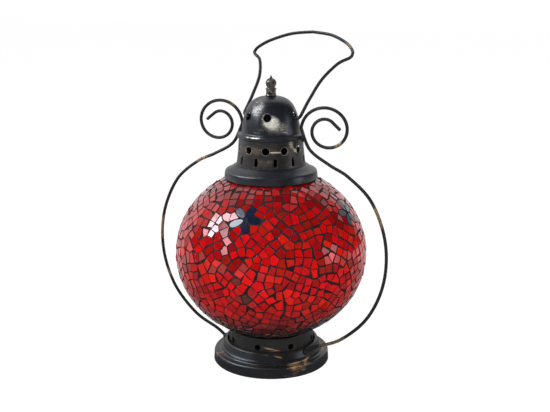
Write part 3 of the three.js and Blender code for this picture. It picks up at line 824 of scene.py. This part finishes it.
def layTile(mesh, layer, patch, side, up, outline):
    places = [onGlobe(patch + side * x + up * y) for x, y in outline]
    x, y = middleOf(outline)
    seat = onGlobe(patch + side * x + up * y)
    if hypot(seat.x, seat.y) < mosaicLook['nearMouth']:
        return
    normal = tipped(facing(seat), mosaicLook['tilt'])
    along = flattened(side, normal)
    across = normal.cross(along)
    outline = [((place - seat).dot(along), (place - seat).dot(across)) for place in places]
    for spot, radius in blocks:
        q = spot - seat
        if q.length > 14:  # too far off to reach the tile
            continue
        x, y = q.dot(along), q.dot(across)
        far = hypot(x, y)
        if far < radius + 0.8:
            return
        outline = clip(outline, x / far, y / far, far - radius - mosaicLook['joint'] * 0.8)
        if len(outline) < 3:
            return
    outline = plainer(outline)
    if len(outline) < 3 or areaOf(outline) < mosaicLook['least']:
        return
    tint = redTintWithPaintedShade(seat)
    for spot, radius in mosaicLook['brownSpots']:
        near = max(0.0, 1 - (seat - Vector(spot)).length / (radius * 1.4))
        if near > 0.15:
            tint = tuple(a + (b - a) * min(1, near * 1.6) for a, b in zip(tint, mosaicLook['brown']))
    addTile(mesh, layer, seat, along, normal, outline, tint, mosaicLook['sunk'])


def fillTiles(mesh, layer):
    for i in range(len(petalSeats), len(seats)):
        outline, side, up = cellOf(seats, i)
        outline = trimmed(outline)
        if len(outline) > 2:
            layTile(mesh, layer, Vector(seats[i]), side, up, outline)


def fillPetals(mesh, layer):
    for petal in petals:
        normal = tipped(petal['normal'], petalLook['tilt'])
        along = flattened(petal['along'], normal)
        blue = dice.uniform(0.8, 1.25)
        addTile(mesh, layer, petal['seat'], along, normal, petal['outline'], toned(petalLook['blue'], blue),
                petalLook['sunk'])


def tileFinish(name, waviness):
    finish, shader, place = newFinish(name, IOR=1.6, Specular_IOR_Level=0.15, Coat_Weight=1.0,
                                      Coat_Roughness=0.03, Coat_IOR=1.6)
    tint = place.node('ShaderNodeAttribute', {'attribute_name': 'tint', 'attribute_type': 'GEOMETRY'})
    swirl = place.noise(3.2, (1, 1.6, 1), detail=4, rough=0.6)
    seedy = place.noise(0.7, detail=2)
    deeper = (swirl * 0.8 + seedy * 0.2).rise(0.35, 0.75)
    feed(shader, Base_Color=deeper.colour(tint.scaled(1.12), tint.scaled(0.8)), Roughness=0.05 + 0.06 * swirl)
    feedBump(shader, place.noise(5, detail=1.5) * 0.9 + swirl * 0.1, waviness)
    return finish


tiles = meshPiece('mosaic_tiles_cut', fillTiles)
settle(tiles, 'mosaic_tiles_cut', tileFinish('red_tile_glass', 0.2), 'mosaic_tiles',
       smooth=0)
flowers = meshPiece('mosaic_petals_cut', fillPetals)
settle(flowers, 'mosaic_petals_cut', tileFinish('blue_petal_glass', 0.12), 'mosaic_tiles',
       smooth=0)
grout = spun(ellipseLine(mosaicLook['radius'] - mosaicLook['groutDepth'],
                         mosaicLook['halfHeight'] - mosaicLook['groutDepth'], mosaicLook['groutMouth'], 72),
             144, mosaicLook['groutWall'], edge=0.2)
groutFinish, shader, place = newFinish('dark_grout', IOR=1.45, Specular_IOR_Level=0.25)
sand = place.noise(0.6, detail=4, rough=0.7)
cloud = place.noise(14, detail=3)
patchy = (sand * 0.5 + cloud * 0.5).rise(0.3, 0.7)
feed(shader, Base_Color=patchy.colour((0.011, 0.0075, 0.0095, 1), (0.032, 0.021, 0.025, 1)),
     Roughness=0.5 + 0.3 * sand)
feedBump(shader, sand * 0.7 + place.noise(2.2) * 0.3, 0.18)
settle(grout, 'mosaic_grout', groutFinish, 'mosaic_tiles')
print('mosaic done:', len(tiles.data.vertices), 'tile corners,', len(petals), 'petals')


# Collar
low, high, shoulder = collarFoot, collarTop, collarFoot + 6.8
collarLook = {
    'sides': 128, 'wall': 1.0,
    'rubs': [rub(-82, 36, shoulder, 15, 0.8, cover=0.5, strength=0.4),
             rub(60, 36, shoulder - 0.6, 12, 1.4, cover=0.5)],
}
collarLine = ([(36.75, low + 0.05), (37.0, low + 0.5), (36.95, low + 1.3), (36.6, low + 4.4)]
              + corner((36.45, low + 4.9), (36.35, shoulder - 0.1), (34.2, shoulder + 0.2), 8)
              + [(31.6, shoulder + 1.6)]
              + corner((29.8, high - 1.0), (28.6, high), (27.0, high), 6) + [(23.6, high)])
collar = spun(collarLine, collarLook['sides'], collarLook['wall'], edge=0.2)
collarFinish = agedBlack('black_collar', (0.009, 0.0105, 0.015), 0.3, collarLook['rubs'], haze=0.1)
settle(collar, 'collar_spun', collarFinish, 'collar')


# Chimney
holeRow = collarTop + 14
chimneyLook = {
    'sides': 132, 'wall': 0.8,
    'holes': 11, 'firstHole': -5.8, 'holeRadius': 3.0, 'holeHeight': holeRow, 'holeReach': 25.6,
    'holeOut': 25.5,
    'slotWide': 2.8, 'slotTall': 6.6, 'slotHeight': collarTop + 5.2, 'slotReach': 26.5, 'slotRounding': 0.9,
    'bandWear': 0.5, 'edgeWear': 0.9,
    'rubs': [
        rub(-92, 25.6, holeRow, 17, 4.6, cover=0.6),
        rub(-52, 25.6, holeRow - 0.6, 11, 0.9, cover=1.2, glow=1.5),
        rub(-25, 25.5, holeRow + 4.6, 3.2, 6.4, lean=24, cover=0.7, glow=0.6),
        rub(-15, 25.6, holeRow - 0.4, 5.5, 2.2, lean=-30, cover=0.8, glow=0.8),
        rub(-70, 26.2, holeRow - 8.4, 16, 4.5, cover=0.42),
        rub(140, 25.6, holeRow - 0.4, 16, 4.0, cover=0.7)],
}
chimney = spun(corner((27.5, collarTop), (26.0, collarTop + 7), (25.3, highest('chimney')), 16),
               chimneyLook['sides'], chimneyLook['wall'], edge=0.1)
holeTurns = turnsOf(chimneyLook)
holeCutter = roundCutter(chimneyLook['holeRadius'], holeRow, chimneyLook['holeReach'])
pierce(chimney, holeCutter, holeTurns, edge=0)
slot = slotCutter(chimneyLook['slotWide'], chimneyLook['slotTall'], chimneyLook['slotHeight'],
                  chimneyLook['slotReach'], chimneyLook['slotRounding'])
pierce(chimney, slot, [turn + 180 / chimneyLook['holes'] for turn in holeTurns], edge=0.14)
chimneyFinish = agedBlack('black_chimney', (0.0125, 0.0115, 0.012), 0.32, chimneyLook['rubs'], haze=0.42,
                          pierced=chimneyLook, wear=brassWear)
settle(chimney, 'chimney_pierced', chimneyFinish, 'chimney')


# Dome
low = rimFoot
domeLook = {
    'sides': 128, 'wall': 0.9, 'holeRadius': 3.2, 'holeReach': 22, 'holes': (0, 180, 62, 110, 241, 290),
    'rubs': [
        # painted highlights: the bright patches round the front vent, on the rim's ledge and up the left side
        # paint the lamps' sheen in as light wear
        rub(-71, 21.2, low + 17.6, 5.2, 5.0, cover=0.6, glow=1.3, halo=0.8),
        rub(-61, 21.6, low + 14.2, 9.5, 7.4, lean=-12, cover=0.5, glow=1.5, halo=0.95),
        rub(-52, 21.9, low + 11.0, 15, 7.0, lean=-12, cover=0.42, glow=0.4, halo=0.3),
        rub(-68, 22.4, low + 9.0, 15, 3.4, cover=0.45),
        rub(-36, 22.6, low + 6.8, 8, 2.2, lean=-18, cover=0.5),
        rub(-93, 27.4, low + 2.9, 12, 0.7, cover=0.75, glow=0.9),
        rub(-100, 17.6, low + 27.2, 8, 5.4, lean=10, cover=0.5, glow=0.3, halo=0.25),
        rub(-98, 20.2, low + 22.4, 9, 5.6, lean=10, cover=0.42, glow=0.3, halo=0.2),
        rub(-84, 22.9, low + 6.2, 14, 2.0, cover=0.35),
        rub(120, 22, low + 12, 12, 7, cover=0.6),
        rub(20, 20, low + 22, 8, 5, cover=0.45)],
}
domeLine = ([(26.35, low), (26.5, low + 0.45), (26.5, low + 1.5)]
            + corner((26.5, low + 2.0), (26.5, low + 3.3), (25.3, low + 3.5), 8)
            + corner((24.6, low + 3.65), (23.5, low + 3.85), (23.3, low + 4.65), 5)
            + cubic((23.26, low + 5.3), (20.5, low + 26.3), (15.2, domeTop), (1.8, domeTop), 26))
dome = spun(domeLine, domeLook['sides'], domeLook['wall'])
ventCutter = roundCutter(domeLook['holeRadius'], domeHoles, domeLook['holeReach'])
pierce(dome, ventCutter, domeLook['holes'], edge=0.25)
domeFinish = agedBlack('black_dome', (0.0085, 0.0095, 0.0145), 0.27, domeLook['rubs'], haze=0.14,
                       wear=silverWear)
settle(dome, 'dome_spun', domeFinish, 'dome')
print('collar, chimney and dome done')


# Finial and its nut: the stalk stands on the dome's top, the spike on the ball
finialLook = {
    'sides': 48, 'lobes': 8, 'lobeDepth': 0.08, 'lobeFoot': 0.75, 'lobeTall': 1.65,
    'ball': 4.2, 'ballCentre': domeTop + 9.8,
    'stalk': [(0, -5.4), (1.5, -5.4), (1.5, 0.3), (4.3, 0.3), (4.35, 0.6), (4.0, 1.0), (3.85, 1.6),
              (3.8, 3.9), (3.9, 5.0), (4.2, 5.4), (4.3, 5.75), (4.1, 6.1), (3.2, 6.35), (2.85, 6.55)],
    'spike': [(1.4, 3.8), (1.0, 4.3), (0.7, 5.0), (0.4, 5.8), (0.2, 6.2), (0, 6.35)],
}
ball, ballCentre = finialLook['ball'], finialLook['ballCentre']
finialLine = [(radius, domeTop + height) for radius, height in finialLook['stalk']]
finialLine += [(ball * cos(radians(a)), ballCentre + ball * sin(radians(a)))
               for a in range(-47, 60, 7)]
finialLine += [(radius, ballCentre + height) for radius, height in finialLook['spike']]
finial = spun(finialLine, finialLook['sides'], edge=0)
for vertex in finial.data.vertices:  # shallow lobes round the ball
    rise = (vertex.co.z / mm - ballCentre) / ball + finialLook['lobeFoot']
    if 0 < rise < finialLook['lobeTall']:
        swell = sin(pi * rise / finialLook['lobeTall'])
        angle = atan2(vertex.co.y, vertex.co.x)
        dip = 1 - finialLook['lobeDepth'] * swell * (0.5 - 0.5 * cos(finialLook['lobes'] * angle))
        vertex.co.x *= dip
        vertex.co.y *= dip
finialFinish, shader, place = newFinish('worn_bronze', IOR=1.5)
pits = place.noise(1.1, detail=4, rough=0.65)
patina = place.noise(2.6, detail=3, shift=4.0)
worn = (pits * 0.6 + patina * 0.4).rise(0.46, 0.62)
feed(shader, Base_Color=worn.colour((0.018, 0.017, 0.018, 1), (0.42, 0.38, 0.33, 1)),
     Metallic=0.2 + 0.7 * worn, Roughness=0.42 - 0.14 * worn)
feedBump(shader, pits * 0.7 + patina * 0.3, 0.12)
settle(finial, 'finial_cast', finialFinish, 'finial')

nutLook = {'radius': 3.2, 'tall': 2.2, 'bore': 1.8, 'edge': 0.25}
nutMiddle = (lowest('finial_nut') + highest('finial_nut')) / 2 * mm
selectNothing()
bpy.ops.mesh.primitive_cylinder_add(vertices=6, radius=nutLook['radius'] * mm, depth=nutLook['tall'] * mm,
                                    location=(0, 0, nutMiddle), rotation=(0, 0, radians(30)))
nut = bpy.context.object
applyPlace()
bore = roundCutter(nutLook['bore'], 0, 0, depth=8)
bore.data.transform(Matrix.Translation((0, 0, nutMiddle)) @ Matrix.Rotation(pi / 2, 4, 'Y'))
cutAway(nut, bore)
breakEdges(nut, nutLook['edge'], 50)
settle(nut, 'finial_nut_hex', plainMetal('nut_steel', (0.42, 0.42, 0.43), 0.42), 'finial_nut')
print('finial done')


# Side wires: a bow round the globe and a scroll beside the dome, with their welds
wireLook = {
    'diameter': 2.6, 'weld': 2.5, 'lean': 3.7, 'stepRadius': 38.71, 'weldHeight': 15.1, 'rimWeld': 28.0,
    'bow': [(-57, 13.2), (-42, 17.6), (-24, 21.7), (-6, 24.2), (12, 26), (30, 26.7), (45, 23.5), (56, 20.5)],
    'scrollCentre': (47.6, rimMiddle + 7.8), 'scrollRadius': 18.8, 'scrollShrink': 7.45, 'scrollWiden': 1.14,
    'scrollTurns': 1.35, 'scrollEnd': 8.2, 'innerPinch': 1.2, 'pinchFrom': 0.75, 'pinchOver': 0.4,
    'leadIn': 0.15,
}
lean = radians(wireLook['lean'])
weldDrop = rimMiddle - wireLook['weldHeight']
footWeld = (sqrt(wireLook['stepRadius'] ** 2 - (weldDrop * tan(lean)) ** 2),
            rimMiddle - weldDrop / cos(lean))


# The wire's plane leans about the weld at the dome's rim
def leant(x, z):
    return (x, (z - rimMiddle) * sin(lean), rimMiddle + (z - rimMiddle) * cos(lean))


def scrollPoint(turn):
    angle = pi - turn * 2 * pi
    pinch = min(1, max(0, (turn - wireLook['pinchFrom']) / wireLook['pinchOver']))
    radius = wireLook['scrollRadius'] - wireLook['scrollShrink'] * turn
    radius -= wireLook['innerPinch'] * pinch ** 2 * (3 - 2 * pinch)
    cx, cz = wireLook['scrollCentre']
    return (cx + wireLook['scrollWiden'] * radius * cos(angle), cz + radius * sin(angle))


def wireLine(curlSteps=110, endSteps=8):
    points = [footWeld]
    for angle, standoff in wireLook['bow']:
        flat, steep = cos(radians(angle)), sin(radians(angle))
        reach = 1 / hypot(flat / mosaicLook['radius'], steep / mosaicLook['halfHeight']) + standoff
        points.append((reach * flat, globeCentre + reach * steep))
    points += [scrollPoint(-wireLook['leadIn']), scrollPoint(0)]
    line = [p for p in flowing(points, 16) if dist(p, scrollPoint(0)) > 2]
    line += [scrollPoint(wireLook['scrollTurns'] * i / curlSteps) for i in range(curlSteps + 1)]
    (beforeX, beforeZ), (lastX, lastZ) = line[-2:]  # the end of the scroll stays straight
    stride = dist(line[-2], line[-1])
    for i in range(1, endSteps + 1):
        reach = wireLook['scrollEnd'] * i / endSteps / stride
        line.append((lastX + (lastX - beforeX) * reach, lastZ + (lastZ - beforeZ) * reach))
    return [leant(x, z) for x, z in line]


def weldBlob(place, stretch, seed):  # a sphere drawn out and made uneven
    selectNothing()
    bpy.ops.mesh.primitive_uv_sphere_add(segments=24, ring_count=14, radius=wireLook['weld'] * mm,
                                         location=Vector(place) * mm)
    blob = bpy.context.object
    setMode('EDIT')
    bpy.ops.mesh.select_all(action='SELECT')
    bpy.ops.transform.resize(value=stretch)
    bpy.ops.transform.vertex_random(offset=0.18 * mm, uniform=0.1, normal=0.9, seed=seed)
    bpy.ops.mesh.vertices_smooth(factor=0.5, repeat=2)
    setMode('OBJECT')
    applyPlace()
    return blob


rightWire = bentWire(wireLine(), wireLook['diameter'])
rightWire = joinPieces([rightWire, weldBlob(leant(*footWeld), (0.75, 1.25, 1.0), 3),
                        weldBlob((wireLook['rimWeld'], 0, rimMiddle), (0.6, 1.1, 1.15), 5)])
leftWire = copied(rightWire, Matrix.Scale(-1, 4, (1, 0, 0)))
leftWire.data.flip_normals()
wireFinish = agedWire('black_wire', [
    (leant(60, 26), 20, 1.0), (leant(94, 131), 16, 0.65), (leant(60, 181), 9, 1.0),
    (leant(-101, 100), 18, 0.8), (leant(-62, 160), 12, 0.7), (leant(-96, 60), 10, 0.6)])
settle(rightWire, 'frame_wire_right_bent', wireFinish, 'frame_wire_right')
settle(leftWire, 'frame_wire_left_bent', wireFinish, 'frame_wire_left')


# Bail: two legs hooked through the dome and a shaped grip, leaning back
bailLook = {
    'diameter': 2.6, 'pivot': domeHoles - 1.6, 'lean': 50.4, 'leg': 24.9, 'hook': 4.6, 'top': 95.4,
    'hookInside': 17.2, 'wallInside': 20.6, 'wallOutside': 22.4,
    'flare': [(0.2, 12), (0.8, 22), (3.2, 42), (10.4, 60)],
    'crown': [(43.2, 28), (44.2, 24), (42.2, 19), (34.5, 11.4), (18.5, 3), (0, 0)],
}


def bailLine():
    leg, hook, inside = bailLook['leg'], bailLook['hook'], bailLook['hookInside']
    half = corner((inside, hook), (inside, 0), (bailLook['wallInside'], 0), 10)
    half += corner((bailLook['wallOutside'], 0), (leg, 0), (leg, hook), 10)
    outline = [half[-1]] + [(leg + out, height) for out, height in bailLook['flare']]
    outline += [(wide, bailLook['top'] - down) for wide, down in bailLook['crown']]
    half += flowing(outline, 9)[1:]
    whole = half + [(-x, y) for x, y in reversed(half[:-1])]
    lean = radians(bailLook['lean'])
    return [(x, y * sin(lean), bailLook['pivot'] + y * cos(lean)) for x, y in whole]


bail = bentWire(bailLine(), bailLook['diameter'])
settle(bail, 'bail_handle_bent', agedWire('black_bail_wire', [((38, 62, 252), 10, 0.5)]),
       'bail_handle', 'bail')
print('wires done')


# Floor, light and camera
studioLook = {
    'aim': (0, 0, 0.11), 'floorWide': 8, 'floorWhite': 1.16, 'floorTone': 0.82,
    'toWall': (-0.558, 0.714, 0.423), 'toCeiling': (-0.249, 0.468, 0.848),
    'windows': [(-153, 30, 11, 12.0), (-128, 25, 10, 4.5), (-137, 50, 13, 9.0), (13, 5, 13, 2.0)],
    'dark': 0.015, 'backWall': 0.7, 'ceiling': 0.7, 'fill': 0.4,
}


def panel(name, turn, height, far, wide, tall, power, seen=False):
    selectNothing()
    toLight = heading(turn, height)
    bpy.ops.object.light_add(type='AREA', location=Vector(studioLook['aim']) + toLight * far)
    lamp = bpy.context.object
    lamp.name = name
    lamp.rotation_euler = toLight.to_track_quat('Z', 'Y').to_euler()
    lamp.data.shape = 'RECTANGLE'
    lamp.data.size, lamp.data.size_y = wide, tall
    lamp.data.energy = power
    lamp.visible_camera = False
    lamp.visible_glossy = seen


panel('key_window', -138, 36, 1.0, 0.42, 0.5, 2.6)
panel('side_window', 18, 8, 1.1, 0.35, 0.6, 1.2)
panel('overhead', -60, 78, 1.1, 0.8, 0.8, 2.4)
panel('front_soft', -62, 30, 1.2, 0.6, 0.5, 6.5)
panel('front_lamp', -57, 23, 1.3, 0.03, 0.03, 0.25, seen=True)

# The floor is white where the camera sees it, and dimmer in what the lantern mirrors
selectNothing()
bpy.ops.mesh.primitive_plane_add(size=studioLook['floorWide'], location=(0, 0, 0))
floor = bpy.context.object
floor.name = 'floor'
floorFinish, shader, place = newFinish('pale_floor', Roughness=0.9, Specular_IOR_Level=0.0,
                                       Base_Color=(*[studioLook['floorTone']] * 3, 1))
seen = place.rays('Camera').over(place.rays('Transmission'))
mirrored = place.rays('Glossy')
behind = place.along((0.47, -0.88, 0)).rise(60, -260)
aside = place.along((-0.42, -0.906, 0)).rise(540, 690)
white = place.node('ShaderNodeEmission', None, {
    'Color': (1, 1, 1, 1),
    'Strength': seen * studioLook['floorWhite'] + mirrored * (0.05 + 0.5 * behind + 0.4 * aside)})
floorSurface = place.node('ShaderNodeMixShader', None, {
    0: seen * 0.8 + mirrored * 0.95, 1: Signal(place.tree, shader.outputs[0]), 2: white})
fill(place.tree.nodes['Material Output'].inputs['Surface'], floorSurface)
floor.data.materials.append(floorFinish)

world = bpy.data.worlds.new('studio')
bpy.context.scene.world = world
world.use_nodes = True
direction = coordinates(world.node_tree, 'Generated')
camera, glossy = direction.rays('Camera'), direction.rays('Glossy')


# A window with soft edges, as shiny things show it
def windowGlow(turn, height, wide, level):
    edge, inside = cos(radians(wide)), cos(radians(wide * 0.55))
    return direction.along(heading(turn, height)).rise(edge, inside) * level


windows = sum(windowGlow(*look) for look in studioLook['windows'])
backWall = direction.along(studioLook['toWall']).rise(0.44, 0.76) * studioLook['backWall']
ceiling = direction.along(studioLook['toCeiling']).rise(0.9, 0.985) * studioLook['ceiling']
shine = (backWall + windows).over(ceiling) + studioLook['dark']
level = camera + (1 - camera) * (glossy * shine + (1 - glossy) * studioLook['fill'])
backdrop = world.node_tree.nodes['Background']
fill(backdrop.inputs['Strength'], level)
fill(backdrop.inputs['Color'], (glossy * windows).rise(0.1, 1.5).colour((1, 1, 1, 1), (0.84, 0.92, 1.0, 1)))

cameraLook = {'place': (0.3604, -0.6712, 0.3167), 'tilt': 76.12, 'turn': 28, 'lens': 64.25, 'sensor': 36}
bpy.ops.object.camera_add(location=cameraLook['place'], rotation=(
    radians(cameraLook['tilt']), 0, radians(cameraLook['turn'])))
viewer = bpy.context.object
viewer.data.lens = cameraLook['lens']
viewer.data.sensor_width = cameraLook['sensor']
bpy.context.scene.camera = viewer
bpy.context.scene.view_settings.view_transform = 'Standard'
print('stage done')
